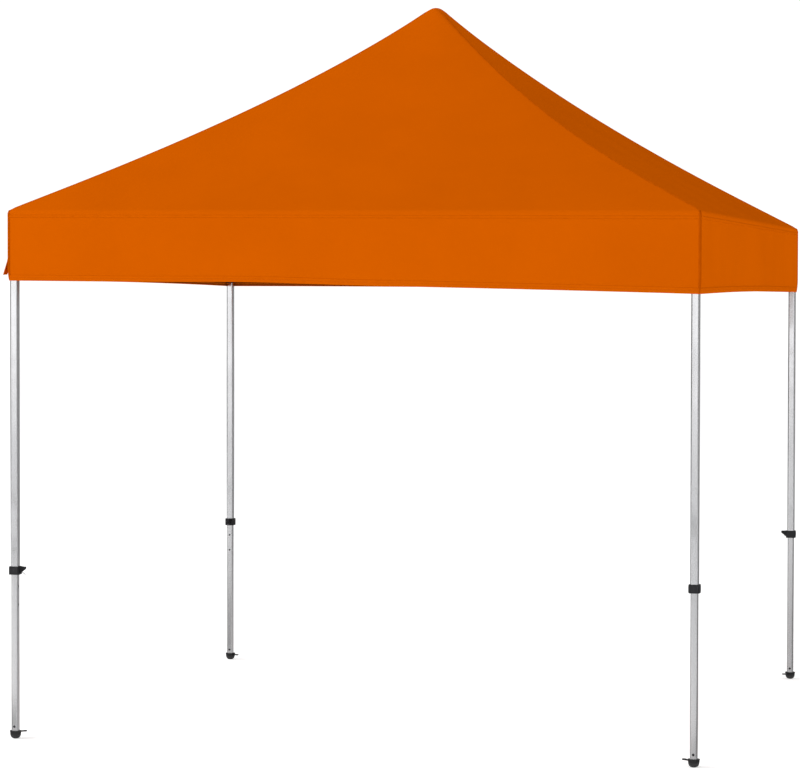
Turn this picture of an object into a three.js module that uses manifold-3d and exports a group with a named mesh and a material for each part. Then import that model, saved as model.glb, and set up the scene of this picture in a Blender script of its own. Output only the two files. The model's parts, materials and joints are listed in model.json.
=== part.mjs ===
// A square pop-up canopy shelter with four straight telescoping legs, as a three.js assembly.
// Millimetres, +Z up. The origin is on the ground at the shelter's centre, and the front faces -Y.
//
// The frame is a scissor linkage. Every bar is the same length and makes the same angle with the
// horizontal, so all horizontal spans shrink together as it folds:
//   - each side has two crossed pairs of bars between its two legs, meeting at a mid-side bracket;
//   - each mid-side bracket is joined to the two centre hubs by a long bar and a half bar;
//   - the mast stands in the lower hub and carries the peak of the roof.
// Each side is the front side turned by a quarter, with the leg at its left-hand end.

import * as THREE from 'three';
import { mergeVertices } from 'three/addons/utils/BufferGeometryUtils.js';
import Module from 'manifold-3d';

const wasm = await Module();
wasm.setup();

// ---------------------------------------------------------------- driving dimensions

const QUARTER = Math.PI / 2;
const SIDES = ['front', 'right', 'back', 'left'];
const LEGS = ['front_left', 'front_right', 'back_right', 'back_left'];

const LEG_POS = 1502; // leg axes stand at (+-LEG_POS, +-LEG_POS)
const GAP = 0.5; // clearance between a bar and the cheeks beside it

const BAR = { thick: 11, high: 22, wall: 1.4 };
const TRUSS_PLANE = 1504; // distance of a side truss from the centre
const LAYER_OFFSET = 6.25; // the two layers of bars lie this far either side of that plane
const ARM_REACH = 62; // from a leg's axis to the pivots on its bracket and slider
const HUB_REACH = 34; // from the mast's axis to the pivots on the hubs
const PIVOT_TOP = 2262; // height of the upper pivots
const PIVOT_LOW = 2035; // height of the lower pivots, frame open

const PIN = { radius: 3, hole: 3.4, headRadius: 6, head: 1.5 };
const CHEEK = 4; // thickness of a bracket's cheeks

const OUTER_LEG = { half: 17.5, corner: 8, wall: 1.6, bottom: 727.3 };
const TOP_BRACKET = { half: 20, corner: 5, bottom: 2236, top: 2283, roof: 10 };
const INNER_LEG = { half: 15.25, corner: 7, wall: 1.5, bottom: 12.3, top: 1180 };
const LOCK_HOLE = { radius: 5, first: 749, pitch: 80, count: 3 };

const FOOT = { top: 34, rim: 26, floor: 12, socket: 15.6 };
const FOOT_CUP = [[10, 0], [16.5, 3.5], [20.5, 8], [23, 14], [24, 21], [24.5, 29]]; // radius and height
const STAKE_TAB = { low: 25, high: 30, half: 9, holeAt: 52, hole: 4.5, turn: 60 };

const COLLAR = { half: 23, corner: 6, bottom: 721, step: 727, top: 757, legBore: 17.9, innerBore: 15.7 };
const LEVER = { pivotX: 28, pivotZ: 749, half: 6, hole: 2.4, pin: 2, tip: 49, top: 756, bottom: 729 };
const LUG = { thick: 3.5, gap: 0.6, reach: 33, bottom: 740, top: 756.5 };

const SLIDER = { half: 21, corner: 6, bore: 18.1, below: 17, above: 43 };
const LATCH = { z: PIVOT_LOW + 30, hole: 3.2, pin: 2.5, tip: 17.8, stem: 4.7, grip: 7, end: 38 };
const LATCH_BOSS = { half: 9, face: 30, bore: 5.2, back: 22.5 };

const HUB = { half: 21, corner: 4, high: 28, upperBore: 13.2, floor: 3 };
const GUIDE_TUBE = { half: 12.5, wall: 1.2, top: 2350 };
const MAST = { half: 10.8, wall: 1.4, top: 3269 };
const PEAK_CAP = { radius: 36, bottom: 3261, rim: 3276, top: 3300 };

const MID_PLATE = { back: 1487.75, pivot: 1474, left: 18, right: 12, half: 14 };

const CANOPY = { half: 1526, thick: 2, hem: 1980, eave: 2298, apex: 3335 };
const SAG = { depth: 243, up: 1.15, down: 0.7 }; // the roof hangs deepest above its middle
const EAVE_ROUND = { in: 14, down: 14 };
const CROWN = 48; // the roof is rounded off this far from the peak
const ROOF_STEPS = [1300, 1080, 860, 660, 480, 320, 200, 110]; // places where the roof's slope changes

// ---------------------------------------------------------------- worked-out dimensions

const OUTER_LAYER = TRUSS_PLANE + LAYER_OFFSET;
const INNER_LAYER = TRUSS_PLANE - LAYER_OFFSET;
const BAR_SPAN = LEG_POS - ARM_REACH; // horizontal span of a bar, frame open
const BAR_LENGTH = Math.hypot(BAR_SPAN, PIVOT_TOP - PIVOT_LOW);
const BAR_ANGLE = Math.atan2(PIVOT_TOP - PIVOT_LOW, BAR_SPAN);
const CHEEK_AT = BAR.thick / 2 + GAP; // from a bar's middle to the near face of a cheek

// ---------------------------------------------------------------- materials

const finish = (color, roughness, metalness) => () =>
  new THREE.MeshStandardMaterial({ color, roughness, metalness });

const aluminium = finish(0xc9cacf, 0.38, 0.85);
const blackNylon = finish(0x25262a, 0.55, 0);
const steel = finish(0xb4b6ba, 0.3, 0.9);
const orangeFabric = finish(0xd25d00, 0.8, 0);

// ---------------------------------------------------------------- solids

// A closed three.js geometry as a solid that can be joined and cut.
function solid(geometry) {
  geometry.deleteAttribute('normal');
  geometry.deleteAttribute('uv');
  const merged = mergeVertices(geometry, 1e-3);
  return new wasm.Manifold(new wasm.Mesh({
    numProp: 3,
    vertProperties: merged.attributes.position.array,
    triVerts: new Uint32Array(merged.index.array),
  }));
}

function geometryOf(manifold) {
  const { vertProperties, triVerts } = manifold.getMesh();
  const geometry = new THREE.BufferGeometry();
  geometry.setAttribute('position', new THREE.BufferAttribute(vertProperties, 3));
  geometry.setIndex(new THREE.BufferAttribute(triVerts, 1));
  const flat = geometry.toNonIndexed();
  flat.computeVertexNormals();
  return flat;
}

const join = (first, ...others) => others.reduce((sum, other) => sum.add(other), first);
const cut = (first, ...others) => others.reduce((rest, other) => rest.subtract(other), first);

function block(x0, x1, y0, y1, z0, z1) {
  const box = new THREE.BoxGeometry(x1 - x0, y1 - y0, z1 - z0);
  return solid(box.translate((x0 + x1) / 2, (y0 + y1) / 2, (z0 + z1) / 2));
}

// A shape in the XY plane, raised from z0 to z1.
function prism(shape, z0, z1) {
  const settings = { depth: z1 - z0, bevelEnabled: false, curveSegments: 3 };
  return solid(new THREE.ExtrudeGeometry(shape, settings).translate(0, 0, z0));
}

// A shape whose y is height, as a plate lying between y0 and y1.
function plate(shape, y0, y1, curveSegments = 2) {
  const settings = { depth: y1 - y0, bevelEnabled: false, curveSegments };
  const geometry = new THREE.ExtrudeGeometry(shape, settings);
  return solid(geometry.rotateX(QUARTER).translate(0, y1, 0));
}

// A round bar along Y through (x, z).
function pinAlongY(radius, y0, y1, x, z) {
  const pin = new THREE.CylinderGeometry(radius, radius, y1 - y0, 8);
  return solid(pin.translate(x, (y0 + y1) / 2, z));
}

// A round bar along X through (y, z).
function pinAlongX(radius, x0, x1, y, z) {
  const pin = new THREE.CylinderGeometry(radius, radius, x1 - x0, 8).rotateZ(QUARTER);
  return solid(pin.translate((x0 + x1) / 2, y, z));
}

function roundedSquare(half, corner) {
  const flat = half - corner;
  const shape = new THREE.Shape();
  shape.absarc(flat, flat, corner, 0, QUARTER);
  shape.absarc(-flat, flat, corner, QUARTER, 2 * QUARTER);
  shape.absarc(-flat, -flat, corner, 2 * QUARTER, 3 * QUARTER);
  shape.absarc(flat, -flat, corner, 3 * QUARTER, 4 * QUARTER);
  return shape;
}

// A strip from x0 to x1 of a given half width, with a round end beyond x1, and beyond x0 if asked.
function strip(x0, x1, half, bothEnds = false) {
  const shape = new THREE.Shape();
  shape.moveTo(x0, -half);
  shape.absarc(x1, 0, half, -QUARTER, QUARTER);
  if (bothEnds) shape.absarc(x0, 0, half, QUARTER, 3 * QUARTER);
  else shape.lineTo(x0, half);
  return shape;
}

// A profile of radii and heights, turned about Z.
function turnedProfile(points, sides) {
  const profile = points.map(([radius, z]) => new THREE.Vector2(radius, z));
  return solid(new THREE.LatheGeometry(profile, sides).rotateX(QUARTER));
}

function outline(points) {
  return new THREE.Shape(points.map(([x, y]) => new THREE.Vector2(x, y)));
}

// Two cheeks and the pin between them, reaching along +X from x0 to a pivot at (reach, z).
// The bar that the pin carries lies at y = across.
function fork(x0, reach, across, z) {
  const arm = strip(x0, reach, BAR.high / 2);
  const near = across - CHEEK_AT;
  const far = across + CHEEK_AT;
  return join(
    plate(arm, near - CHEEK, near).translate([0, 0, z]),
    plate(arm, far, far + CHEEK).translate([0, 0, z]),
    pinAlongY(PIN.radius, near - CHEEK / 2, far + CHEEK / 2, reach, z),
  );
}

const turned = (manifold, quarters) => manifold.rotate([0, 0, 90 * quarters]);

// ---------------------------------------------------------------- truss bars

// A hollow bar along +X from a pivot at 0 to a pivot at `length`, with round ends. `holes` and `rivets`
// are the places along it that turn on another part's pin, or carry a rivet through the next layer.
function trussBar(length, holes, rivets) {
  const side = BAR.thick / 2;
  const end = BAR.high / 2;
  const skin = plate(strip(0, length, end, true), -side, side);
  const inside = block(
    -end - 1, length + end + 1,
    BAR.wall - side, side - BAR.wall,
    BAR.wall - end, end - BAR.wall,
  );
  const drills = holes.map((at) => pinAlongY(PIN.hole, -side - 1, side + 1, at * length, 0));
  const nextLayer = 2 * LAYER_OFFSET + side + GAP;
  const pins = rivets.map((at) => join(
    pinAlongY(PIN.radius, -side, nextLayer + PIN.head, at * length, 0),
    pinAlongY(PIN.headRadius, nextLayer, nextLayer + PIN.head, at * length, 0),
  ));
  return geometryOf(join(cut(skin, inside, ...drills), ...pins));
}

const BAR_SHAPES = {
  legToLowMiddle: trussBar(BAR_LENGTH, [0], [0.5, 1]),
  crossed: trussBar(BAR_LENGTH, [0, 0.5, 1], []),
  middleToSlider: trussBar(BAR_LENGTH, [0, 1], [0.5]),
  peakHalf: trussBar(BAR_LENGTH / 2, [0, 1], []),
};

// ---------------------------------------------------------------- legs, in the leg's own frame

// The front-left leg's frame: +X runs along the front side and +Y along the left side.
const FRONT_ARM = { outer: LEG_POS - OUTER_LAYER, inner: LEG_POS - INNER_LAYER };
const LEFT_ARM = { outer: OUTER_LAYER - LEG_POS, inner: INNER_LAYER - LEG_POS };

function outerLegShape() {
  const cap = prism(roundedSquare(TOP_BRACKET.half, TOP_BRACKET.corner), TOP_BRACKET.bottom, TOP_BRACKET.top);
  const tube = prism(roundedSquare(OUTER_LEG.half, OUTER_LEG.corner), OUTER_LEG.bottom, TOP_BRACKET.top - 1);
  const hollow = prism(
    roundedSquare(OUTER_LEG.half - OUTER_LEG.wall, OUTER_LEG.corner - OUTER_LEG.wall),
    OUTER_LEG.bottom - 1, TOP_BRACKET.top - TOP_BRACKET.roof,
  );
  const frontArm = fork(OUTER_LEG.half, ARM_REACH, FRONT_ARM.outer, PIVOT_TOP);
  const leftArm = turned(fork(OUTER_LEG.half, ARM_REACH, LEFT_ARM.inner, PIVOT_TOP), 1);
  const latchHole = pinAlongX(LATCH.hole, 0, OUTER_LEG.half + 1, 0, LATCH.z);
  return geometryOf(cut(join(tube, cap, frontArm, leftArm), hollow, latchHole));
}

function innerLegShape() {
  const { half, corner, wall, bottom, top } = INNER_LEG;
  const tube = prism(roundedSquare(half, corner), bottom, top);
  const hollow = prism(roundedSquare(half - wall, corner - wall), bottom - 1, top + 1);
  const holes = Array.from({ length: LOCK_HOLE.count }, (_, i) =>
    pinAlongX(LOCK_HOLE.radius, 0, half + 1, 0, LOCK_HOLE.first - i * LOCK_HOLE.pitch));
  return geometryOf(cut(tube, hollow, ...holes));
}

// A round cup with a small flat sole and a flared rim, and a stake tab that points in under the shelter.
function footShape() {
  const { rim, top } = FOOT;
  const cup = turnedProfile([[0, 0], ...FOOT_CUP, [rim, top - 1], [rim, top], [0, top]], 20);
  const tabShape = strip(0, STAKE_TAB.holeAt, STAKE_TAB.half);
  tabShape.holes.push(new THREE.Path().absarc(STAKE_TAB.holeAt, 0, STAKE_TAB.hole, 0, 4 * QUARTER));
  const tab = prism(tabShape, STAKE_TAB.low, STAKE_TAB.high).rotate([0, 0, STAKE_TAB.turn]);
  const socket = prism(roundedSquare(FOOT.socket, INNER_LEG.corner), FOOT.floor, top + 1);
  return geometryOf(cut(join(cup, tab), socket));
}

function collarShape() {
  const body = prism(roundedSquare(COLLAR.half, COLLAR.corner), COLLAR.bottom, COLLAR.top);
  const lugStart = LEVER.half + LUG.gap;
  const lugs = [lugStart, -lugStart - LUG.thick].map((y) =>
    block(COLLAR.half - 2, LUG.reach, y, y + LUG.thick, LUG.bottom, LUG.top));
  const lever = pinAlongY(LEVER.pin, -lugStart - 1, lugStart + 1, LEVER.pivotX, LEVER.pivotZ);
  const lowBore = prism(roundedSquare(COLLAR.innerBore, INNER_LEG.corner), COLLAR.bottom - 1, COLLAR.top);
  const legBore = prism(roundedSquare(COLLAR.legBore, OUTER_LEG.corner), COLLAR.step, COLLAR.top + 1);
  return geometryOf(cut(join(body, ...lugs, lever), lowBore, legBore));
}

// A wedge that hangs on the collar's pin: lifting its tip draws its foot away from the leg.
function leverShape() {
  const { pivotX, pivotZ, tip, top, bottom } = LEVER;
  const wedge = outline([
    [pivotX - 1.5, top], [tip - 2, top], [tip, top - 3], [tip - 0.5, top - 10], [tip - 4, top - 13],
    [pivotX + 6, pivotZ - 14], [pivotX, bottom], [pivotX - 3.8, bottom], [pivotX - 3.8, pivotZ - 2],
  ]);
  const body = plate(wedge, -LEVER.half, LEVER.half);
  return geometryOf(cut(body, pinAlongY(LEVER.hole, -LEVER.half - 1, LEVER.half + 1, pivotX, pivotZ)));
}

function sliderShape() {
  const low = PIVOT_LOW - SLIDER.below;
  const high = PIVOT_LOW + SLIDER.above;
  const { half, face, bore, back } = LATCH_BOSS;
  const sleeve = prism(roundedSquare(SLIDER.half, SLIDER.corner), low, high);
  const boss = block(SLIDER.half - 2, face, -half, half, LATCH.z - half, LATCH.z + half);
  const frontArm = fork(SLIDER.bore + 1, ARM_REACH, FRONT_ARM.inner, PIVOT_LOW);
  const leftArm = turned(fork(SLIDER.bore + 1, ARM_REACH, LEFT_ARM.outer, PIVOT_LOW), 1);
  const legBore = prism(roundedSquare(SLIDER.bore, OUTER_LEG.corner), low - 1, high + 1);
  const stemBore = pinAlongX(bore, back, face + 1, 0, LATCH.z);
  const pinBore = pinAlongX(LATCH.hole, 0, back + 1, 0, LATCH.z);
  return geometryOf(cut(join(sleeve, boss, frontArm, leftArm), legBore, stemBore, pinBore));
}

// A pull knob whose pin points at the leg, turned about X.
function latchShape() {
  const { tip, pin, stem, grip, end } = LATCH;
  const stemStart = LATCH_BOSS.back + 1;
  const gripStart = LATCH_BOSS.face + 1;
  const profile = [
    [0, tip], [pin, tip], [pin, stemStart], [stem, stemStart],
    [stem, gripStart], [grip, gripStart], [grip, end], [0, end],
  ].map(([radius, x]) => new THREE.Vector2(radius, x));
  return new THREE.LatheGeometry(profile, 8).rotateZ(-QUARTER).translate(0, 0, LATCH.z);
}

const LEG_SHAPES = {
  outer_leg: [outerLegShape(), aluminium],
  inner_leg: [innerLegShape(), aluminium],
  foot: [footShape(), blackNylon],
  leg_collar: [collarShape(), blackNylon],
  collar_lever: [leverShape(), blackNylon],
  slider: [sliderShape(), blackNylon],
  slider_latch: [latchShape(), steel],
};

// ---------------------------------------------------------------- centre and mid-side pieces
// These are drawn along +X, which runs outwards from the mast to the middle of a side.

function midBracketShape() {
  const { back, pivot, left, right, half } = MID_PLATE;
  const low = PIVOT_TOP - half;
  const high = PIVOT_TOP + half;
  const backPlate = block(back, back + CHEEK, -left, right, low, high);
  const lastFace = OUTER_LAYER + BAR.thick / 2 + GAP;
  const sidePin = pinAlongX(PIN.radius, back + 1, lastFace + PIN.head, 0, PIVOT_TOP);
  const sideHead = pinAlongX(PIN.headRadius, lastFace, lastFace + PIN.head, 0, PIVOT_TOP);
  const peakFork = fork(pivot - back - CHEEK / 2, 0, LAYER_OFFSET, 0);
  const inwardFork = turned(peakFork, 2).translate([pivot, 0, PIVOT_TOP]);
  return geometryOf(join(backPlate, sidePin, sideHead, inwardFork));
}

function hubBlock(z) {
  return prism(roundedSquare(HUB.half, HUB.corner), z - HUB.high / 2, z + HUB.high / 2);
}

function hubForks(across, z) {
  return SIDES.map((_, k) => turned(fork(HUB.half - 2, HUB_REACH, across, z), k));
}

function upperHubShape() {
  const bore = prism(roundedSquare(HUB.upperBore, 2), PIVOT_TOP - HUB.high, PIVOT_TOP + HUB.high);
  return geometryOf(cut(join(hubBlock(PIVOT_TOP), ...hubForks(LAYER_OFFSET, PIVOT_TOP)), bore));
}

// The lower hub and the tube rising from it, in which the mast slides.
function lowerHubShape() {
  const bottom = PIVOT_LOW - HUB.high / 2;
  const tube = prism(roundedSquare(GUIDE_TUBE.half, 2), bottom, GUIDE_TUBE.top);
  const inside = prism(
    roundedSquare(GUIDE_TUBE.half - GUIDE_TUBE.wall, 1), bottom + HUB.floor, GUIDE_TUBE.top + 1,
  );
  return geometryOf(cut(join(hubBlock(PIVOT_LOW), tube, ...hubForks(-LAYER_OFFSET, PIVOT_LOW)), inside));
}

function mastShape() {
  const bottom = PIVOT_LOW - HUB.high / 2 + HUB.floor + GAP;
  const tube = prism(roundedSquare(MAST.half, 1.5), bottom, MAST.top);
  const inside = prism(roundedSquare(MAST.half - MAST.wall, 1), bottom - 1, MAST.top - MAST.wall);
  const { radius, bottom: under, rim, top } = PEAK_CAP;
  const dome = turnedProfile([
    [0, under], [radius * 0.6, under], [radius, under + 8], [radius, rim],
    [radius * 0.78, top - 10], [radius * 0.4, top - 2.5], [0, top],
  ], 12);
  return geometryOf(cut(join(tube, dome), inside));
}

// ---------------------------------------------------------------- canopy

// Height of the roof's outside at a distance w from the mast's axis, straight towards a side. The cloth
// sags between the peak and the eave, and is rounded over the mast's cap.
function roofHeight(w) {
  const { half, eave, apex } = CANOPY;
  const hung = (at) => {
    const up = 1 - at / half;
    return eave + (apex - eave) * up - SAG.depth * up ** SAG.up * (1 - up) ** SAG.down;
  };
  if (w >= CROWN) return hung(w);
  const slope = hung(CROWN) - hung(CROWN + 1);
  return hung(CROWN) + slope * (CROWN ** 2 - w ** 2) / (2 * CROWN);
}

// One cloth shell with the valance: a square ring profile, lathed in four steps.
function canopyShape() {
  const { half, thick, hem, eave } = CANOPY;
  const shoulder = half - EAVE_ROUND.in;
  const outside = [
    [half, hem], [half, eave - EAVE_ROUND.down],
    ...[shoulder, ...ROOF_STEPS, CROWN, CROWN / 2].map((w) => [w, roofHeight(w)]),
    [0, roofHeight(0)],
  ];
  const inside = outside.map(([w, z]) => {
    if (w === half) return [w - thick, z === hem ? z : z - thick / 2];
    return [w === 0 ? 0 : w - thick / 3, z - 1.2 * thick];
  }).reverse();
  const profile = [...outside, ...inside].map(([w, z]) => new THREE.Vector2(w * Math.SQRT2, z));
  profile.push(profile[0].clone());
  const lathe = new THREE.LatheGeometry(profile, 4, QUARTER / 2);
  return geometryOf(solid(lathe.rotateX(QUARTER)));
}

// ---------------------------------------------------------------- assembly

function piece(name, geometry, material) {
  const mesh = new THREE.Mesh(geometry, material());
  mesh.name = name;
  return mesh;
}

// A bar from (x, y, z), leaning down by `lean` as it runs along +X.
function placedBar(name, geometry, [x, y, z], lean) {
  const mesh = piece(name, geometry, aluminium);
  mesh.position.set(x, y, z);
  mesh.rotation.y = lean;
  return mesh;
}

function sideTruss(side) {
  const { legToLowMiddle, crossed, middleToSlider } = BAR_SHAPES;
  const bars = new THREE.Group();
  bars.add(
    placedBar(`side_bar_${side}_left_outer`, legToLowMiddle, [-BAR_SPAN, -OUTER_LAYER, PIVOT_TOP], BAR_ANGLE),
    placedBar(`side_bar_${side}_left_inner`, crossed, [-BAR_SPAN, -INNER_LAYER, PIVOT_LOW], -BAR_ANGLE),
    placedBar(`side_bar_${side}_right_outer`, middleToSlider, [0, -OUTER_LAYER, PIVOT_TOP], BAR_ANGLE),
    placedBar(`side_bar_${side}_right_inner`, crossed, [0, -INNER_LAYER, PIVOT_LOW], -BAR_ANGLE),
  );
  return bars;
}

const peakLong = trussBar(BAR_LENGTH, [0, 1], [0.5]);
const midBracket = midBracketShape();

function peakTruss(side) {
  const group = new THREE.Group();
  group.rotation.z = -QUARTER;
  group.add(
    placedBar(`peak_bar_${side}_long`, peakLong, [HUB_REACH, -LAYER_OFFSET, PIVOT_LOW], -BAR_ANGLE),
    placedBar(`peak_bar_${side}_half`, BAR_SHAPES.peakHalf, [HUB_REACH, LAYER_OFFSET, PIVOT_TOP], BAR_ANGLE),
    piece(`mid_bracket_${side}`, midBracket, blackNylon),
  );
  return group;
}

function leg(corner) {
  const group = new THREE.Group();
  group.position.set(-LEG_POS, -LEG_POS, 0);
  for (const [name, [geometry, material]] of Object.entries(LEG_SHAPES)) {
    group.add(piece(`${name}_${corner}`, geometry, material));
  }
  return group;
}

const group = new THREE.Group();
SIDES.forEach((side, k) => {
  const quarter = new THREE.Group();
  quarter.rotation.z = k * QUARTER;
  quarter.add(sideTruss(side), peakTruss(side), leg(LEGS[k]));
  group.add(quarter);
});
group.add(
  piece('hub_upper', upperHubShape(), blackNylon),
  piece('hub_lower', lowerHubShape(), blackNylon),
  piece('center_mast', mastShape(), aluminium),
  piece('canopy', canopyShape(), orangeFabric),
);

export default group;
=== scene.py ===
import json
import math

import bpy
import numpy as np
from mathutils import Matrix, Vector

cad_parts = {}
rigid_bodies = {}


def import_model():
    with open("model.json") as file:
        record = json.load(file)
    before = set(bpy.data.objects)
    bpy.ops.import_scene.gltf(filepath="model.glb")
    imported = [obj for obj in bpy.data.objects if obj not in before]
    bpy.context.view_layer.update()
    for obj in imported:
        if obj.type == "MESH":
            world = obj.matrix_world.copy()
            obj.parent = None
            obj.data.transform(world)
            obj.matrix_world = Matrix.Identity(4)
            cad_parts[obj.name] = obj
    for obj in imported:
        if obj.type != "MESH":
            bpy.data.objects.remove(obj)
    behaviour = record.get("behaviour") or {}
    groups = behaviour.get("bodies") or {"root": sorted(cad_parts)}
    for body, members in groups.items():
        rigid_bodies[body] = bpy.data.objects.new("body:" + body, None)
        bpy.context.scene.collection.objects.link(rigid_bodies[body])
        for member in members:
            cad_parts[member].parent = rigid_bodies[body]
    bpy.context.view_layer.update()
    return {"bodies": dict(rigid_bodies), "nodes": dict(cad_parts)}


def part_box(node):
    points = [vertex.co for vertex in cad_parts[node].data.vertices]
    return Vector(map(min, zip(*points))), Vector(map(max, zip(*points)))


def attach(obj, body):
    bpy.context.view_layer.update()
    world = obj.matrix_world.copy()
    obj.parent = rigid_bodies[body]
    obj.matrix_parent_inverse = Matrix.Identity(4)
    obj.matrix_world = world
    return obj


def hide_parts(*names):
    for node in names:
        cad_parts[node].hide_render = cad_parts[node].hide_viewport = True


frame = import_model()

# The looks of a square pop-up canopy shelter, in metres, around the imported frame. The canopy is one sheet
# with its seams and binding sewn on. Hooks on the legs, the mast and the lower hub gather it as the frame
# folds. The tubes, hubs and fittings are the CAD's own, with softened edges, worn on the bars and the nylon
# and darkened with painted shade on the legs; small screws, springs, ribs and straps are added to the legs.

# ---------------------------------------------------------------- sizes, from the frame

CORNERS = ("front_left", "front_right", "back_right", "back_left")

canopy_low, canopy_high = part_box("canopy")
leg_low, leg_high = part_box("inner_leg_back_right")
LEG = (leg_low.x + leg_high.x) / 2
INNER_HALF = (leg_high.x - leg_low.x) / 2
OUTER_HALF = INNER_HALF + 0.00225
HALF = canopy_high.x
HEM = canopy_low.z
PEAK = canopy_high.z
collar_low, collar_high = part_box("leg_collar_front_left")
COLLAR_HALF = -LEG - collar_low.x

VALANCE = 0.318
EAVE = HEM + VALANCE
RISE = 1.037  # from the eave to where the roof would meet without its round crown
SAG_DEPTH, SAG_UP, SAG_DOWN = 0.243, 1.15, 0.7  # the roof hangs deepest above its middle
CROWN = 0.048  # the roof is round this far from the peak
LEAN = 0.012  # how far the peak leans to the right
CROWN_CORNER = 0.045  # corner radius of the roof's rings at the crown, and lower down
HIP_CORNER = 0.008
EAVE_ROUND = 0.011
CLOTH = 0.0008  # thickness of the cloth

# How far each corner of the hem and of the eave stands above the cut's even height.
HEM_LIFT = {"front_left": 0.030, "front_right": -0.025, "back_right": -0.007, "back_left": 0.022}
EAVE_LIFT = {"front_left": 0.016, "front_right": -0.004, "back_right": -0.006, "back_left": 0.0}
HEM_BOW = 0.0075  # how far the middle of each hem stands above the line between its corners
FRONT_HEM_BOW = 0.0065  # and the front hem this much more, a little left of its middle
CORNER_TUCK = 0.005  # how far each corner of the hem is drawn in
VALANCE_WAVE = 0.0018  # how far the hem waves in and out
PANEL_SAG = 0.010  # how much the middle of a roof panel hangs between its hips
CREASE, CREASE_REACH = 0.0008, 0.2  # height of the creases at each corner, and how far they reach
RIPPLE = 0.0006  # height of the roof's long waves
EAVE_FADE = 0.05  # the roof's waves, creases and sags die away this far from the eave
# How much lower each hip hangs half-way down.
HIP_SAG = {"front_left": 0.0, "front_right": 0.042, "back_right": 0.013, "back_left": 0.0}


# ---------------------------------------------------------------- camera, light and floor

def make_camera():
    data = bpy.data.cameras.new("camera")
    data.sensor_width = 36
    data.lens = 133.95
    data.dof.use_dof = False
    camera = bpy.data.objects.new("camera", data)
    camera.location = (3.498, -13.647, 1.9225)
    turn, tilt, roll = 0.2619, -0.0282, 0.0020
    aim = Matrix.Rotation(turn, 3, "Z") @ Matrix.Rotation(math.pi / 2 + tilt, 3, "X")
    camera.rotation_euler = (aim @ Matrix.Rotation(roll, 3, "Z")).to_euler()
    bpy.context.scene.collection.objects.link(camera)
    bpy.context.scene.camera = camera


def make_softbox(name, place, size, power):
    data = bpy.data.lights.new(name, "AREA")
    data.shape = "RECTANGLE"
    data.size, data.size_y = size
    data.energy = power
    lamp = bpy.data.objects.new(name, data)
    lamp.location = place
    lamp.visible_glossy = False
    aim = Vector((0, 0, 1.8)) - Vector(place)
    lamp.rotation_euler = aim.to_track_quat("-Z", "Y").to_euler()
    bpy.context.scene.collection.objects.link(lamp)


def make_light():
    world = bpy.data.worlds.new("studio")
    bpy.context.scene.world = world
    world.use_nodes = True
    nodes, links = world.node_tree.nodes, world.node_tree.links
    direction = nodes.new("ShaderNodeTexCoord").outputs["Generated"]
    parts = nodes.new("ShaderNodeSeparateXYZ")
    links.new(direction, parts.inputs["Vector"])
    fade = nodes.new("ShaderNodeMapRange")
    for name, value in (("From Min", 0.15), ("From Max", 0.80), ("To Min", 1.08), ("To Max", 0.62)):
        fade.inputs[name].default_value = value
    links.new(parts.outputs["Z"], fade.inputs["Value"])
    links.new(fade.outputs["Result"], nodes["Background"].inputs["Strength"])
    nodes["Background"].inputs["Color"].default_value = (1, 1, 1, 1)
    bpy.context.scene.view_settings.view_transform = "Standard"
    make_softbox("key", (-18.6, -6.4, 12.0), (6.4, 6.4), 3180)
    make_softbox("side", (12, -3, 0.9), (3, 3), 150)


# Boards that only shiny surfaces see: the middle of each, half its sides, and its grey. They give the
# bright tubes their darker edges, and those on the ground keep the white floor out of the tubes.
FLAGS = {
    "flag_back_right": ((6.5, 14, 3.5), (7.5, 0, 0), (0, 0, 3.5), 0.22),
    "flag_back_left": ((-8.5, 14, 3.5), (5.5, 0, 0), (0, 0, 3.5), 0.05),
    "flag_right": ((14, -4, 3.5), (0, 18, 0), (0, 0, 3.5), 0.22),
    "flag_left": ((-14, 0, 3.5), (0, 14, 0), (0, 0, 3.5), 0.05),
    "ground_far": ((-6, -16, 0.02), (14, 0, 0), (0, 8, 0), 0.20),
    "ground_near": ((0, -5.1, 0.02), (14, 0, 0), (0, 2.9, 0), 0.68),
    "ground_left": ((-7.8, 5.9, 0.02), (6.2, 0, 0), (0, 8.1, 0), 0.20),
    "ground_right": ((7.8, 5.9, 0.02), (6.2, 0, 0), (0, 8.1, 0), 0.22),
    "ground_middle": ((0, 5.9, 0.02), (1.6, 0, 0), (0, 8.1, 0), 0.45),
}


def make_flags():
    for name, (middle, across, up, grey) in FLAGS.items():
        middle, across, up = Vector(middle), Vector(across), Vector(up)
        corners = [middle + across * a + up * b for a, b in ((-1, -1), (1, -1), (1, 1), (-1, 1))]
        material = nylon_material(name, (grey, grey, grey), (grey * 1.1, grey * 1.1, grey * 1.1))
        flag = new_piece(name, corners, [(0, 1, 2, 3)], material)
        flag.visible_camera = False
        flag.visible_diffuse = False
        flag.visible_shadow = False
        flag.visible_transmission = False


def make_floor(material):
    bpy.ops.mesh.primitive_circle_add(vertices=96, radius=90, fill_type="NGON")
    floor = bpy.context.object
    floor.name = "floor"
    floor.data.materials.append(material)


# ---------------------------------------------------------------- materials

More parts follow.
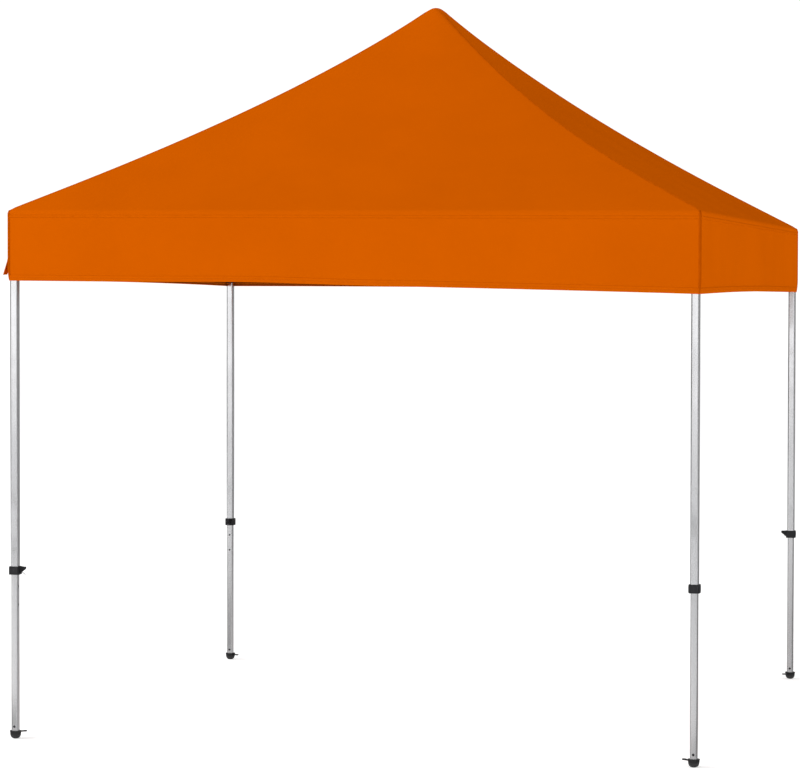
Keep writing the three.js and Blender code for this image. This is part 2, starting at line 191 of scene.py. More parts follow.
class Shader:
    """A new material, with short ways to add nodes and to join them to its Principled BSDF."""

    def __init__(self, name, **values):
        self.material = bpy.data.materials.new(name)
        self.material.use_nodes = True
        self.tree = self.material.node_tree
        self.surface = self.tree.nodes["Principled BSDF"]
        self.set(**values)

    def set(self, **values):
        for name, value in values.items():
            socket = self.surface.inputs[name.replace("_", " ")]
            socket.default_value = (*value, 1) if isinstance(value, tuple) else value

    def node(self, kind, inputs=None, **settings):
        made = self.tree.nodes.new(kind)
        for name, value in settings.items():
            setattr(made, name, value)
        for name, value in (inputs or {}).items():
            self.join(value, made.inputs[name])
        return made

    def join(self, value, socket):
        if isinstance(value, bpy.types.NodeSocket):
            self.tree.links.new(value, socket)
        else:
            socket.default_value = value

    def places(self, scale=(1, 1, 1), uv=None):
        """Object coordinates, or a UV map's, scaled."""
        if uv:
            source = self.node("ShaderNodeUVMap", uv_map=uv).outputs["UV"]
        else:
            source = self.node("ShaderNodeTexCoord").outputs["Object"]
        return self.node("ShaderNodeMapping", {"Vector": source, "Scale": scale}).outputs["Vector"]

    def noise(self, places, scale, detail=3.0, roughness=0.55):
        settings = {"Vector": places, "Scale": scale, "Detail": detail, "Roughness": roughness}
        return self.node("ShaderNodeTexNoise", settings).outputs["Fac"]

    def math(self, operation, first, second=0.5, third=0.0):
        made = self.node("ShaderNodeMath", operation=operation)
        for socket, value in zip(made.inputs, (first, second, third)):
            self.join(value, socket)
        return made.outputs[0]

    def spread(self, value, low, high, to_low=0.0, to_high=1.0):
        settings = {"Value": value, "From Min": low, "From Max": high, "To Min": to_low, "To Max": to_high}
        return self.node("ShaderNodeMapRange", settings).outputs["Result"]

    def blend(self, share, first, second, mode="MIX"):
        made = self.node("ShaderNodeMix", data_type="RGBA", blend_type=mode)
        self.join(share, made.inputs[0])
        self.join((*first, 1) if isinstance(first, tuple) else first, made.inputs[6])
        self.join((*second, 1) if isinstance(second, tuple) else second, made.inputs[7])
        return made.outputs[2]

    def colour(self, socket):
        self.join(socket, self.surface.inputs["Base Color"])

    def rough(self, socket):
        self.join(socket, self.surface.inputs["Roughness"])

    def relief(self, height, distance, strength=1.0, under=None):
        settings = {"Height": height, "Distance": distance, "Strength": strength}
        if under is not None:
            settings["Normal"] = under
        bump = self.node("ShaderNodeBump", settings).outputs["Normal"]
        self.join(bump, self.surface.inputs["Normal"])
        return bump


ORANGE = (0.560, 0.094, 0.0)
DEEP_ORANGE = (0.530, 0.088, 0.0)
SEAM_ORANGE = (0.440, 0.070, 0.0)
# The two inside colours are painted shade: the cloth's inside is coloured darker for the shade under the
# canopy.
INSIDE = (0.200, 0.036, 0.001)
DEEP_INSIDE = (0.175, 0.031, 0.001)
# On the corner seams, SEAM_ORANGE and the colour below are painted shade for the crease at each corner of the
# valance.
CORNER_SHADE_ORANGE = (0.380, 0.058, 0.0)
THREAD = (0.525, 0.087, 0.001)
FINISH = {
    "Specular_IOR_Level": 0.0,
    "Sheen_Weight": 0.04,
    "Sheen_Roughness": 0.5,
    "Sheen_Tint": (1.0, 0.2, 0.0),
}
WEAVE_PITCH = 0.0009
STITCH_PITCH = 0.0055
SEAM_ROWS = (0.12, 0.88)  # where a seam's two rows of stitching lie across it


def weave(shader, uv="cloth"):
    """Height of a plain weave of WEAVE_PITCH, from 0 to 1."""
    parts = shader.node("ShaderNodeSeparateXYZ", {"Vector": shader.places(uv=uv)})
    turns = 2 * math.pi / WEAVE_PITCH
    warp = shader.math("SINE", shader.math("MULTIPLY", parts.outputs["X"], turns))
    weft = shader.math("SINE", shader.math("MULTIPLY", parts.outputs["Y"], turns))
    return shader.math("MULTIPLY_ADD", shader.math("MULTIPLY", warp, weft), 0.5, 0.5)


def cloth_material(name, colour, deep, uv="cloth"):
    """Coated polyester: a fine weave, faint mottling, and soft creases left by the carrying bag."""
    shader = Shader(name, **FINISH)
    threads = weave(shader, uv)
    mottle = shader.noise(shader.places(), 2.2, 4.0)
    dust = shader.noise(shader.places(), 38.0, 3.0)
    tone = shader.blend(shader.spread(mottle, 0.35, 0.68), colour, deep)
    tone = shader.blend(shader.spread(threads, 0.0, 1.0, 0.10, 0.0), tone, deep)
    tone = shader.blend(shader.spread(dust, 0.45, 0.75, 0.0, 0.12), tone, deep)
    shader.colour(tone)
    shader.rough(shader.spread(mottle, 0.3, 0.7, 0.66, 0.82))
    crease = shader.noise(shader.places(), 5.5, 2.0, 0.4)
    soft = shader.relief(crease, 0.004, 0.35)
    shader.relief(threads, 0.0002, 0.5, under=soft)
    return shader.material


def tape_material(name, colour, deep, thread, rows=(0.18, 0.82)):
    """The same cloth folded into a tape, with rows of lock stitching along it.
    The tape's UV map runs in metres along it and from 0 to 1 across it."""
    shader = Shader(name, **FINISH)
    parts = shader.node("ShaderNodeSeparateXYZ", {"Vector": shader.places(uv="tape")})
    along = shader.math("FRACT", shader.math("DIVIDE", parts.outputs["X"], STITCH_PITCH))
    stitch = shader.math("COMPARE", along, 0.38, 0.34)
    line = None
    for row in rows:
        here = shader.math("COMPARE", parts.outputs["Y"], row, 0.035)
        line = here if line is None else shader.math("MAXIMUM", line, here)
    sewn = shader.math("MULTIPLY", stitch, line)
    mottle = shader.noise(shader.places(), 30.0, 4.0)
    tone = shader.blend(shader.spread(mottle, 0.3, 0.7), colour, deep)
    shader.colour(shader.blend(sewn, tone, thread))
    shader.rough(shader.spread(mottle, 0.3, 0.7, 0.62, 0.8))
    pucker = shader.relief(shader.noise(shader.places(), 90.0, 2.0), 0.0008, 0.5)
    shader.relief(sewn, 0.0005, 0.8, under=pucker)
    return shader.material


def aluminium_material(name, colour, dull, streaks, base_rough=0.30):
    """Drawn and anodised aluminium: fine streaks along the tube and a few rubbed patches."""
    shader = Shader(name, Metallic=1.0)
    drawn = shader.noise(shader.places(streaks), 60.0, 4.0, 0.6)
    patches = shader.noise(shader.places(), 7.0, 3.0)
    tone = shader.blend(shader.spread(drawn, 0.3, 0.7), colour, dull)
    tone = shader.blend(shader.spread(patches, 0.5, 0.75, 0.0, 0.35), tone, dull)
    shader.colour(tone)
    shader.rough(shader.spread(patches, 0.3, 0.75, base_rough, base_rough + 0.14))
    shader.relief(drawn, 0.0002, 0.25)
    return shader.material


def nylon_material(name, colour, worn, grain=900.0):
    """Moulded nylon with a fine spark grain and pale scuffs."""
    shader = Shader(name, Specular_IOR_Level=0.28)
    scuff = shader.noise(shader.places(), 55.0, 6.0, 0.7)
    tone = shader.blend(shader.spread(scuff, 0.52, 0.78, 0.0, 0.8), colour, worn)
    shader.colour(tone)
    shader.rough(shader.spread(scuff, 0.3, 0.7, 0.42, 0.62))
    shader.relief(shader.noise(shader.places(), grain, 2.0), 0.0002, 0.5)
    return shader.material


def webbing_material(name, colour, deep):
    """Woven webbing with ribs across it."""
    shader = Shader(name, Sheen_Weight=0.3, Sheen_Roughness=0.5)
    places = shader.places()
    rib = shader.node("ShaderNodeTexWave", {"Vector": places, "Scale": 220.0, "Distortion": 0.6},
                      bands_direction="Z")
    shader.colour(shader.blend(rib.outputs["Fac"], colour, deep))
    shader.rough(shader.spread(shader.noise(places, 120.0), 0.3, 0.7, 0.7, 0.9))
    shader.relief(rib.outputs["Fac"], 0.0006, 0.6)
    return shader.material


FLOOR_GLOW = 0.37  # the floor is lit from below a little, as on a light table


def floor_material():
    shader = Shader("pale_floor", Roughness=0.9, Specular_IOR_Level=0.0, Emission_Strength=FLOOR_GLOW)
    shader.set(Emission_Color=(1.0, 1.0, 1.0))
    tone = shader.noise(shader.places(), 0.6, 2.0)
    shader.colour(shader.blend(shader.spread(tone, 0.3, 0.7), (0.90, 0.90, 0.90), (0.88, 0.88, 0.88)))
    return shader.material


# ---------------------------------------------------------------- the canopy's shape

def roof_height(out):
    """Height of the roof at `out` from the peak's axis, measured square to a side."""
    def slope_line(at):
        up = 1 - at / HALF
        return EAVE + RISE * up - SAG_DEPTH * up ** SAG_UP * np.maximum(1 - up, 0) ** SAG_DOWN

    step = 1e-4
    slope = (slope_line(CROWN + step) - slope_line(CROWN - step)) / (2 * step)
    crown = slope_line(CROWN) + slope / (2 * CROWN) * (out * out - CROWN * CROWN)
    return np.where(out < CROWN, crown, slope_line(out))


def canopy_profile():
    """Distances out and heights down the middle of a side, from the peak to the hem."""
    crown = np.linspace(0.004, CROWN, 8)
    roof = np.linspace(CROWN, HALF - EAVE_ROUND, 56)[1:]
    out = np.concatenate([crown, roof])
    high = roof_height(out)
    turn = np.linspace(0, 1, 7)[1:]
    start, end = (out[-1], high[-1]), (HALF, EAVE - EAVE_ROUND)
    bend_out = (1 - turn) ** 2 * start[0] + 2 * turn * (1 - turn) * HALF + turn ** 2 * end[0]
    bend_high = (1 - turn) ** 2 * start[1] + 2 * turn * (1 - turn) * EAVE + turn ** 2 * end[1]
    drop = np.linspace(EAVE - EAVE_ROUND, HEM, 20)[1:]
    out = np.concatenate([out, bend_out, np.full(len(drop), HALF)])
    high = np.concatenate([high, bend_high, drop])
    down = np.concatenate([[0], np.cumsum(np.hypot(np.diff(out), np.diff(high)))])
    return out, high, down


OUT, HIGH, DOWN = canopy_profile()
EAVE_DOWN = float(np.interp(-EAVE + EAVE_ROUND, -HIGH, DOWN))
HEM_DOWN = float(DOWN[-1])


def evenly(corners, x, y):
    """The corner values spread over the plan, between the four corners."""
    x, y = x / HALF, y / HALF
    return sum(
        value * (1 + sx * x) * (1 + sy * y) / 4
        for value, (sx, sy) in zip(corners.values(), ((-1, -1), (1, -1), (1, 1), (-1, 1)))
    )


def ripple(x, y):
    """Long, low, uneven waves, about -1 to 1."""
    waves = ((2.3, 1.1, 0.4), (-1.4, 3.1, 1.9), (4.3, -3.7, 2.7), (5.9, 5.2, 5.1))
    return sum(np.sin(a * x + b * y + c) / (1 + i) for i, (a, b, c) in enumerate(waves)) / 2


def cloth_place(around, down):
    """Points of the canopy. `around` goes round it by 1 for each side, from the front left corner, and
    `down` is the way down the cloth from the peak."""
    out = np.interp(down, DOWN, OUT)
    high = np.interp(down, DOWN, HIGH)
    side = np.floor(around)
    across = 2 * (around - side) - 1
    hang = np.clip((down - EAVE_DOWN) / (HEM_DOWN - EAVE_DOWN), 0, 1)

    # The lowest part of each corner tucks in, and the hanging cloth waves a little.
    near_corner = np.clip((np.abs(across) - 0.93) / 0.07, 0, 1) ** 2
    out = out - CORNER_TUCK * near_corner * np.clip((hang - 0.8) / 0.2, 0, 1) ** 2
    out = out + VALANCE_WAVE * hang * np.sin(9 * across + 1.7 * side) * (1 - near_corner)

    corner = np.minimum(out, HIP_CORNER + (CROWN_CORNER - HIP_CORNER) * np.exp(-out / 0.10))
    flat = out - corner
    over = np.maximum(np.abs(across) * out - flat, 0) / corner * (math.pi / 4)
    along = np.where(over > 0, flat + corner * np.sin(over), np.abs(across) * out) * np.sign(across)
    away = np.where(over > 0, flat + corner * np.cos(over), out)
    angle = side * (math.pi / 2)
    x = along * np.cos(angle) + away * np.sin(angle)
    y = along * np.sin(angle) - away * np.cos(angle)

    # Creases fan out from each corner, and the middle of each roof panel sags between its hips.
    reach = np.hypot(HALF - np.abs(along), HALF - out)
    fan = np.arctan2(HALF - out + 1e-6, HALF - np.abs(along) + 1e-6)
    share = out / HALF
    roof = 1 - np.clip((down - EAVE_DOWN + EAVE_FADE) / EAVE_FADE, 0, 1)
    high = high + roof * CREASE * np.sin(22 * fan) * (reach / CREASE_REACH) * np.exp(-reach / CREASE_REACH)
    high = high - roof * PANEL_SAG * (1 - across ** 2) * np.sin(math.pi * share) ** 2
    high = high + roof * RIPPLE * ripple(x, y) * np.clip(share * 4, 0, 1)

    high = high + evenly(EAVE_LIFT, x, y) * share ** 2 * (1 - hang)
    front_bow = FRONT_HEM_BOW * (side == 0) * np.exp(-((across + 0.28) / 0.24) ** 2)
    bow = HEM_BOW * (1 - across ** 2) + front_bow
    high = high + (evenly(HEM_LIFT, x, y) + bow) * hang
    nearest = np.mod(side + (across > 0), 4).astype(int)
    hip_sag = np.array([HIP_SAG[corner] for corner in CORNERS])[nearest]
    high = high - hip_sag * roof * across ** 2 * np.sin(math.pi * share)
    return np.stack([x + LEAN * (1 - share), y, high], axis=-1)


def cloth(around, down, lift=0.0):
    """Points `lift` outside the canopy's cloth."""
    around, down = np.broadcast_arrays(np.asarray(around, float), np.asarray(down, float))
    place = cloth_place(around, down)
    if np.all(np.asarray(lift) == 0):
        return place
    step = 1e-4
    sideways = cloth_place(around + step, down) - cloth_place(around - step, down)
    downward = cloth_place(around, down + step) - cloth_place(around, down - step)
    normal = np.cross(downward, sideways)
    normal /= np.maximum(np.linalg.norm(normal, axis=-1, keepdims=True), 1e-12)
    return place + normal * np.asarray(lift)[..., None]


# ---------------------------------------------------------------- meshes

def new_piece(name, points, faces, material, smooth=True):
    mesh = bpy.data.meshes.new(name)
    mesh.from_pydata(np.asarray(points, float).reshape(-1, 3).tolist(), [], faces)
    mesh.materials.append(material)
    mesh.polygons.foreach_set("use_smooth", [smooth] * len(mesh.polygons))
    piece = bpy.data.objects.new(name, mesh)
    bpy.context.scene.collection.objects.link(piece)
    return piece


def grid_faces(rows, columns, closed=False):
    """Faces of a grid of points stored row by row; if closed, its last column meets its first."""
    faces = []
    for r in range(rows - 1):
        here, below = r * columns, (r + 1) * columns
        for c in range(columns if closed else columns - 1):
            after = (c + 1) % columns
            faces.append((here + c, below + c, below + after, here + after))
    return faces


def ring_faces(rows, columns):
    """Faces of a grid whose last row meets its first."""
    return [
        (r * columns + c, (r + 1) % rows * columns + c, (r + 1) % rows * columns + c + 1, r * columns + c + 1)
        for r in range(rows)
        for c in range(columns - 1)
    ]


def set_uv(piece, name, values):
    layer = piece.data.uv_layers.new(name=name)
    layer.data.foreach_set("uv", np.array(values, np.float32).ravel())


def grid_uv(walk, shares):
    """UV places of a grid's faces, metres along it and from 0 to 1 across it."""
    values = []
    for start, end in zip(walk[:-1], walk[1:]):
        for left, right in zip(shares[:-1], shares[1:]):
            values += [(start, left), (end, left), (end, right), (start, right)]
    return values


def walk_along(line, closed):
    """Distances along a line of points, with the way back to its start if it is closed."""
    if closed:
        line = np.vstack([line, line[:1]])
    return np.concatenate([[0], np.cumsum(np.linalg.norm(np.diff(line, axis=0), axis=1))])


def thicken(piece, thickness, offset=-1.0):
    solid = piece.modifiers.new("thickness", "SOLIDIFY")
    solid.thickness = thickness
    solid.offset = offset


# ---------------------------------------------------------------- how the cloth folds

PLEATS = 12  # to a side, in the valance and the roof's edge
PLEATS_FROM = 1.25  # how far out the pleats start
PLEAT_SHARE = 0.07  # of the way that a side moves in as the frame folds
BAG_FROM, BAG_TO = 0.30, 1.28  # the cloth hangs down between these, clear of the mast, bars and legs
BAG_SHARE = 0.30  # of the lower hub's drop, at the middle of each quarter of the roof


def fold_shares(points):
    """How much of each body's movement each point of the cloth takes up. The bodies only slide, so the
    shares add up to one smooth movement: in with the legs, down with the mast, and into pleats and bags."""
    x, y, z = points.T
    out = np.maximum(np.abs(x), np.abs(y))
    across = np.where(np.abs(x) > np.abs(y), y, x) / np.maximum(out, 1e-6)
    near_eave = np.clip((out - PLEATS_FROM) / (HALF - PLEATS_FROM), 0, 1)
    pleat = PLEAT_SHARE * near_eave ** 2 * np.sin(math.pi * PLEATS * (across + 1) / 2) ** 2
    shares = {}
    for corner, (sx, sy) in zip(CORNERS, ((-1, -1), (1, -1), (1, 1), (-1, 1))):
        right = np.clip((1 + sx * x / LEG) / 2, 0, 1)
        back = np.clip((1 + sy * y / LEG) / 2, 0, 1)
        shares["leg_" + corner] = right * back * (1 - pleat)
    shares["mast"] = np.clip((z - EAVE) / (PEAK - EAVE), 0, 1)
    bag_x, bag_y = (np.clip((np.abs(place) - BAG_FROM) / (BAG_TO - BAG_FROM), 0, 1) for place in (x, y))
    shares["hub_lower"] = BAG_SHARE * (np.sin(math.pi * bag_x) * np.sin(math.pi * bag_y)) ** 2
    return shares


def fold_with_frame(piece):
    """Hooks the piece to the bodies that carry the cloth, and rests it on the upper hub."""
    points = np.array([v.co for v in piece.data.vertices], float)
    for body, share in fold_shares(points).items():
        group = piece.vertex_groups.new(name=body)
        for index in np.nonzero(share > 1e-5)[0]:
            group.add([int(index)], float(min(share[index], 1.0)), "REPLACE")
        hook = piece.modifiers.new(body, "HOOK")
        hook.object = frame["bodies"][body]
        hook.vertex_group = body
        hook.falloff_type = "NONE"
        hook.strength = 1.0
        hook.matrix_inverse = Matrix.Identity(4)
    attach(piece, "hub_upper")


# ---------------------------------------------------------------- the canopy

TIP_RISE = 0.00002  # the sheet's middle point stands this far above the ring round it


def columns_round():
    """Places round the canopy, close together at the corners."""
    corner = np.geomspace(0.0006, 0.02, 8)
    middle = np.linspace(0.03, 0.5, 38)
    half_side = np.concatenate([[0], corner, middle])
    side = np.concatenate([half_side, 1 - half_side[-2:0:-1]])
    return np.concatenate([side + k for k in range(4)])


def make_canopy(material, inside):
    around = columns_round()
    rows, columns = len(DOWN), len(around)
    points = cloth(around[None, :], DOWN[:, None]).reshape(-1, 3)
    middle = len(points)
    top = points[:columns].mean(axis=0) + np.array((0, 0, TIP_RISE))
    points = np.vstack([points, top])
    faces = grid_faces(rows, columns, closed=True)
    faces += [(middle, c, (c + 1) % columns) for c in range(columns)]
    piece = new_piece("canopy_sheet", points, faces, material)
    set_uv(piece, "cloth", panel_uv(around))
    fold_with_frame(piece)
    thicken(piece, CLOTH)
    # The inner shell takes the inside material, whose darker orange is painted shade.
    piece.data.materials.append(inside)
    piece.modifiers["thickness"].material_offset = 1
    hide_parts("canopy")
    return piece


def panel_uv(around):
    """The cut of each roof panel: metres across it and metres down it."""
    rows, columns = len(DOWN), len(around)
    side = np.floor(around)
    across = np.append(2 * (around - side) - 1, 1.0)[None, :] * OUT[:, None]
    values = []
    for r in range(rows - 1):
        for c in range(columns):
            left, right = across[r, c], across[r, c + 1]
            low_left, low_right = across[r + 1, c], across[r + 1, c + 1]
            if (c + 1) % (columns // 4) == 0:  # the next column belongs to the next panel
                right, low_right = OUT[r], OUT[r + 1]
            shift = 4.0 * side[c]
            values += [(left + shift, DOWN[r]), (low_left + shift, DOWN[r + 1]),
                       (low_right + shift, DOWN[r + 1]), (right + shift, DOWN[r])]
    return values + [(0, 0)] * (3 * columns)


def tape(name, around, down, lift, material, closed=False, thickness=0.0016):
    """A tape sewn on the canopy. around and down are arrays of (places along it, places across it)."""
    around, down = np.broadcast_arrays(around, down)
    points = cloth(around, down, lift)
    length, width = around.shape
    faces = ring_faces(length, width) if closed else grid_faces(length, width)
    piece = new_piece(name, points, faces, material)
    walk = walk_along(points[:, width // 2], closed)
    set_uv(piece, "tape", grid_uv(walk, np.linspace(0, 1, width)))
    fold_with_frame(piece)
    thicken(piece, thickness)
    return piece


def make_hip_seams(material):
    """A felled seam down each hip, from the crown to the eave."""
    half_width = 0.008
    down = np.linspace(np.interp(0.05, OUT, DOWN), EAVE_DOWN - 0.01, 70)[:, None]
    share = np.linspace(-1, 1, 7)[None, :]
    out = np.interp(down, DOWN, OUT)
    lift = 0.0018 * (1 - share ** 2) - 0.0002 + 0 * down
    return [
        tape(f"hip_seam_{corner}", k + share * half_width / (2 * out), down, lift, material)
        for k, corner in enumerate(CORNERS)
    ]


def make_corner_seams(material):
    """The seam down each corner of the valance: a tape with a folded ridge at the corner itself."""
    half_width = 0.013
    down = np.linspace(EAVE_DOWN - 0.012, HEM_DOWN - 0.002, 26)[:, None]
    share = np.linspace(-1, 1, 9)[None, :]
    lift = 0.0034 * np.exp(-(share / 0.45) ** 2) + 0.0005 * (1 - share ** 2) - 0.0002 + 0 * down
    return [
        tape(f"corner_seam_{corner}", k + share * half_width / (2 * HALF), down, lift, material)
        for k, corner in enumerate(CORNERS)
    ]


def make_eave_seam(material):
    around = columns_round()[:, None]
    share = np.linspace(-1, 1, 5)[None, :]
    down = EAVE_DOWN + 0.014 + 0.007 * share
    lift = 0.0006 * (1 - share ** 2) - 0.0002 + 0 * around
    return tape("eave_seam", around, down, lift, material, closed=True, thickness=0.0003)


def make_hem_binding(material, inner):
    """A strip folded round the lower edge: up the outside, round the edge and up the inside."""
    around = columns_round()
    width, spread = 0.024, 0.0009
    outside = np.linspace(width, 0.001, 5)
    inside = np.linspace(0.001, width, 5)
    turn = np.linspace(0, math.pi, 5)[1:-1]
    drop = np.concatenate([-outside, 0.0012 * np.sin(turn), -inside])
    lift = np.concatenate([[-0.0002], np.full(4, spread), spread * np.cos(turn), np.full(5, -spread - CLOTH)])
    edge = cloth(around, HEM_DOWN)
    normal = cloth(around, HEM_DOWN - 0.004, 1.0) - cloth(around, HEM_DOWN - 0.004)
    up = cloth(around, HEM_DOWN - 0.03) - edge
    up /= np.linalg.norm(up, axis=1, keepdims=True)
    points = edge[:, None] - up[:, None] * drop[None, :, None] + normal[:, None] * lift[None, :, None]
    length, across = len(around), len(drop)
    piece = new_piece("hem_binding", points, ring_faces(length, across), material)
    set_uv(piece, "tape", grid_uv(walk_along(edge, closed=True), np.linspace(0, 1, across)))
    # The binding's inner half takes the inside material, whose darker orange is painted shade.
    piece.data.materials.append(inner)
    up_inside = len(outside) + len(turn) - 1
    looks_across = [int(c > up_inside) for c in range(across - 1)]
    piece.data.polygons.foreach_set("material_index", looks_across * length)
    fold_with_frame(piece)
    thicken(piece, 0.0006)
    return piece


# ---------------------------------------------------------------- CAD nodes

def dress(node, face, edge, bevel):
    """Gives a CAD node its materials. A modifier softens its edges, and they take the edge material: worn on
    the bars and the nylon, darkened with painted shade on the legs.
    """
    piece = frame["nodes"][node]
    piece.data.materials.clear()
    piece.data.materials.append(face)
    piece.data.materials.append(edge)
    piece.data.polygons.foreach_set("material_index", [0] * len(piece.data.polygons))
    soften = piece.modifiers.new("soft_edges", "BEVEL")
    soften.width = bevel
    soften.segments = 2
    soften.limit_method = "ANGLE"
    soften.angle_limit = math.radians(28)
    soften.material = 1
    soften.harden_normals = False


def dress_frame(looks):
    kinds = (
        ("outer_leg", "leg", "leg_edge", 0.0008),
        ("inner_leg", "inner_leg", "leg_edge", 0.0008),
        ("side_bar", "bar", "bar_edge", 0.0004),
        ("peak_bar", "bar", "bar_edge", 0.0004),
        ("center_mast", "bar", "bar_edge", 0.0004),
        ("slider_latch", "steel", "steel", 0.0004),
        ("foot", "foot", "nylon_edge", 0.0012),
        ("leg_collar", "nylon", "nylon_edge", 0.0008),
        ("collar_lever", "nylon", "nylon_edge", 0.0008),
        ("slider", "nylon", "nylon_edge", 0.0006),
        ("hub", "nylon", "nylon_edge", 0.0006),
        ("mid_bracket", "nylon", "nylon_edge", 0.0006),
    )
    for node in frame["nodes"]:
        kind = next((k for k in kinds if node.startswith(k[0])), None)
        if kind:
            dress(node, looks[kind[1]], looks[kind[2]], kind[3])


# ---------------------------------------------------------------- small fittings on the legs

SCREW_UP = 0.053  # height of the foot's screws
STRAP_LOW, STRAP_HIGH = 2.150, 2.188
STRAP_EDGE = 0.004  # the strap thins this far in from its edges
SPRING_UP = 0.7335  # height of the lever's spring where it leaves the collar
SPRING_HALF = 0.0028  # half its width
TAB_START, TAB_END = 0.006, 0.046  # the pull tab's two sides, from the front left corner
TAB_UP, TAB_LONG, TAB_OUT = 0.105, 0.078, 0.021  # its root's height above the hem, its length and its curl


def at_leg(k, points):
    """Points from the front left leg's own frame, placed at the k-th leg."""
    angle = k * math.pi / 2
    c, s = math.cos(angle), math.sin(angle)
    x, y, z = np.asarray(points, float).reshape(-1, 3).T
    x, y = x - LEG, y - LEG
    return np.stack([x * c - y * s, x * s + y * c, z], 1)


def rounded_loop(half, corner, steps=5):
    """Points round a square with rounded corners."""
    turn = np.linspace(0, math.pi / 2, steps)
    points = []
    for quarter in range(4):
        middle = np.array([half - corner, half - corner])
        arc = middle + corner * np.stack([np.cos(turn), np.sin(turn)], 1)
        c, s = round(math.cos(quarter * math.pi / 2)), round(math.sin(quarter * math.pi / 2))
        points += [(c * x - s * y, s * x + c * y) for x, y in arc]
    return np.array(points)


def make_leg_strap(k, material):
    """A hook-and-loop strap wrapped round the leg, inside the valance's corner."""
    loops = []
    full = ((0.0010, STRAP_LOW + STRAP_EDGE), (0.0010, STRAP_HIGH - STRAP_EDGE))
    for grow, high in ((0.0006, STRAP_LOW), *full, (0.0006, STRAP_HIGH)):
        loop = rounded_loop(OUTER_HALF + grow, 0.0055)
        loops.append(np.column_stack([loop, np.full(len(loop), high)]))
    points = np.stack(loops, axis=1)
    strap = new_piece(f"leg_strap_{CORNERS[k]}", at_leg(k, points), ring_faces(*points.shape[:2]), material)
    thicken(strap, 0.0016, 1.0)
    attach(strap, "leg_" + CORNERS[k])


def rib_points(low, high, across, out, width, proud):
    """An upright rib on the face at x = out: a low ridge with tapered ends."""
    sections = ((low, 0.15), (low + 0.003, 1), (high - 0.003, 1), (high, 0.15))
    shape = ((-1, -0.5), (-0.75, 0.7), (0, 1), (0.75, 0.7), (1, -0.5))
    return [
        (out + proud * share * up, across + width / 2 * side, z)
        for z, share in sections
        for side, up in shape
    ]


def make_collar_ribs(k, material):
    """Grip ribs on the three faces of a collar that have no lever."""
    low, high = collar_low.z + 0.004, collar_high.z - 0.004
    points, faces = [], []
    for quarter in (1, 2, 3):
        for step in range(-3, 4):
            rib = np.array(rib_points(low, high, step * 0.0052, COLLAR_HALF, 0.0030, 0.0011))
            c, s = round(math.cos(quarter * math.pi / 2)), round(math.sin(quarter * math.pi / 2))
            rib = np.column_stack([c * rib[:, 0] - s * rib[:, 1], s * rib[:, 0] + c * rib[:, 1], rib[:, 2]])
            start = len(points)
            points += rib.tolist()
            ends = [(0, 1, 2, 3, 4), (19, 18, 17, 16, 15)]
            faces += [tuple(start + i for i in face) for face in grid_faces(4, 5) + ends]
    ribs = new_piece(f"collar_ribs_{CORNERS[k]}", at_leg(k, points), faces, material)
    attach(ribs, "leg_" + CORNERS[k])


def make_lever_spring(k, material):
    """The bent leaf that pushes the lever back: out of the collar and down below the lever's tip."""
    line = [(-0.0015, 0), (0.006, 0.0010), (0.014, 0.0050), (0.021, 0.0100), (0.025, 0.0130)]
    points = [
        (COLLAR_HALF + out, side * SPRING_HALF, SPRING_UP - drop)
        for out, drop in line
        for side in (-1, 0, 1)
    ]
    leaf = new_piece(f"lever_spring_{CORNERS[k]}", at_leg(k, points), grid_faces(len(line), 3), material)
    thicken(leaf, 0.0012, 0.0)
    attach(leaf, "leg_" + CORNERS[k])


def make_foot_screws(k, material):
    """A countersunk screw on two opposite faces, holding the foot on the inner leg. It stands only 0.3 mm
    proud, so that it clears the collar's bore as the leg slides up."""
    rings = ((0.0056, 0.00004), (0.0053, 0.00030), (0.0022, 0.00030), (0.0012, 0.00015))
    sides = 16
    points, faces = [], []
    along = (0, 1) if k % 2 else (1, 0)
    for way in (1, -1):
        facing = (along[0] * way, along[1] * way)
        start = len(points)
        for radius, proud in rings:
            for i in range(sides):
                turn = 2 * math.pi * i / sides
                across, up = radius * math.cos(turn), radius * math.sin(turn)
                away = INNER_HALF + proud
                points.append((facing[1] * away + facing[0] * across, -facing[0] * away + facing[1] * across,
                               SCREW_UP + up))
        faces += [tuple(start + i for i in face) for face in grid_faces(len(rings), sides, closed=True)]
        faces.append(tuple(start + (len(rings) - 1) * sides + i for i in range(sides)))
    screws = new_piece(f"foot_screws_{CORNERS[k]}", at_leg(k, points), faces, material)
    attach(screws, "inner_leg_" + CORNERS[k])


def make_corner_tab(material):
    """A small pull tab of the same cloth, sewn on the left valance by the front left corner."""
    along = np.linspace(TAB_START, TAB_END, 5)[:, None]
    drop = np.linspace(0, 1, 9)[None, :]
    around = 4 - along / (2 * HALF)
    down = HEM_DOWN - TAB_UP + TAB_LONG * drop
    curl = TAB_OUT * drop ** 1.3 * (1.1 - 0.2 * along / 0.052)
    points = cloth(around + 0 * drop, down + 0 * along, 0.0012 + curl)
    tab = new_piece("corner_tab", points, grid_faces(5, 9), material)
    fold_with_frame(tab)
    thicken(tab, 0.0018, 0.0)
    return tab


# ---------------------------------------------------------------- put together

# How the streaks of a metal are stretched along x, y and z.
EVENLY = (1, 1, 1)
LENGTHWISE = (0.1, 0.1, 1)
UPRIGHT = (1, 1, 0.02)

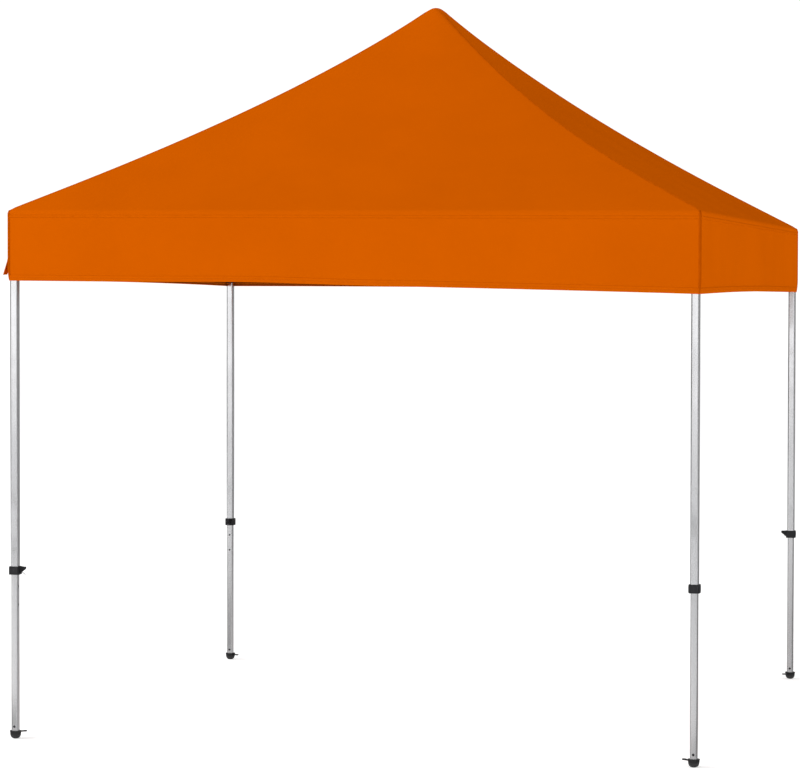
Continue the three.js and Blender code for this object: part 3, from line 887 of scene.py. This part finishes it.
looks = {
    "cloth": cloth_material("orange_polyester", ORANGE, DEEP_ORANGE),
    # The inside materials of the cloth and of the binding are darkened with painted shade.
    "cloth_inside_shade": cloth_material("shaded_inside_polyester", INSIDE, DEEP_INSIDE),
    "tab": cloth_material("tab_polyester", ORANGE, DEEP_ORANGE, uv=None),
    "tape": tape_material("orange_tape", ORANGE, DEEP_ORANGE, THREAD),
    "tape_inside_shade": tape_material("shaded_inner_tape", INSIDE, DEEP_INSIDE, THREAD),
    "seam": tape_material("orange_seam", DEEP_ORANGE, SEAM_ORANGE, THREAD, SEAM_ROWS),
    # The corner seams' darker oranges are painted shade in the crease at each corner of the valance.
    "corner_seam": tape_material("painted_shade_seam", SEAM_ORANGE, CORNER_SHADE_ORANGE, THREAD, SEAM_ROWS),
    "leg": aluminium_material("leg_aluminium", (0.93, 0.93, 0.95), (0.84, 0.84, 0.86), UPRIGHT, 0.13),
    # The inner legs' slightly darker grey is painted shade: it dims the floor's bright reflection low on the
    # legs.
    "inner_leg": aluminium_material(
        "inner_leg_aluminium", (0.88, 0.88, 0.89), (0.78, 0.78, 0.80), UPRIGHT, 0.15
    ),
    # The legs' dark edge grey is painted shade on the rounded edges of the tubes.
    "leg_edge": aluminium_material(
        "shaded_edge_aluminium", (0.62, 0.62, 0.65), (0.5, 0.5, 0.53), (1, 1, 0.05), 0.4
    ),
    "bar": aluminium_material("bar_aluminium", (0.80, 0.80, 0.82), (0.66, 0.66, 0.69), LENGTHWISE),
    "bar_edge": aluminium_material("rubbed_bar", (0.88, 0.88, 0.89), (0.7, 0.7, 0.72), EVENLY, 0.25),
    "steel": aluminium_material("zinc_steel", (0.55, 0.55, 0.56), (0.42, 0.42, 0.44), EVENLY, 0.35),
    "nylon": nylon_material("black_nylon", (0.012, 0.012, 0.014), (0.035, 0.035, 0.04)),
    "nylon_edge": nylon_material("worn_nylon", (0.030, 0.030, 0.033), (0.08, 0.08, 0.085)),
    "foot": nylon_material("foot_nylon", (0.014, 0.014, 0.015), (0.05, 0.048, 0.045)),
    "webbing": webbing_material("black_webbing", (0.02, 0.02, 0.022), (0.045, 0.045, 0.05)),
    "screw": aluminium_material(
        "blackened_screw", (0.07, 0.07, 0.075), (0.04, 0.04, 0.045), EVENLY, 0.35
    ),
    "spring": aluminium_material("spring_steel", (0.36, 0.36, 0.37), (0.28, 0.28, 0.30), EVENLY, 0.35),
    "floor": floor_material(),
}

make_camera()
make_light()
make_floor(looks["floor"])
make_flags()

canopy = make_canopy(looks["cloth"], looks["cloth_inside_shade"])
sewn_on = [
    *make_hip_seams(looks["seam"]),
    *make_corner_seams(looks["corner_seam"]),
    make_eave_seam(looks["tape"]),
    make_hem_binding(looks["tape"], looks["tape_inside_shade"]),
    make_corner_tab(looks["tab"]),
]
dress_frame(looks)
for k in range(4):
    make_leg_strap(k, looks["webbing"])
    make_collar_ribs(k, looks["nylon_edge"])
    make_lever_spring(k, looks["spring"])
    make_foot_screws(k, looks["screw"])
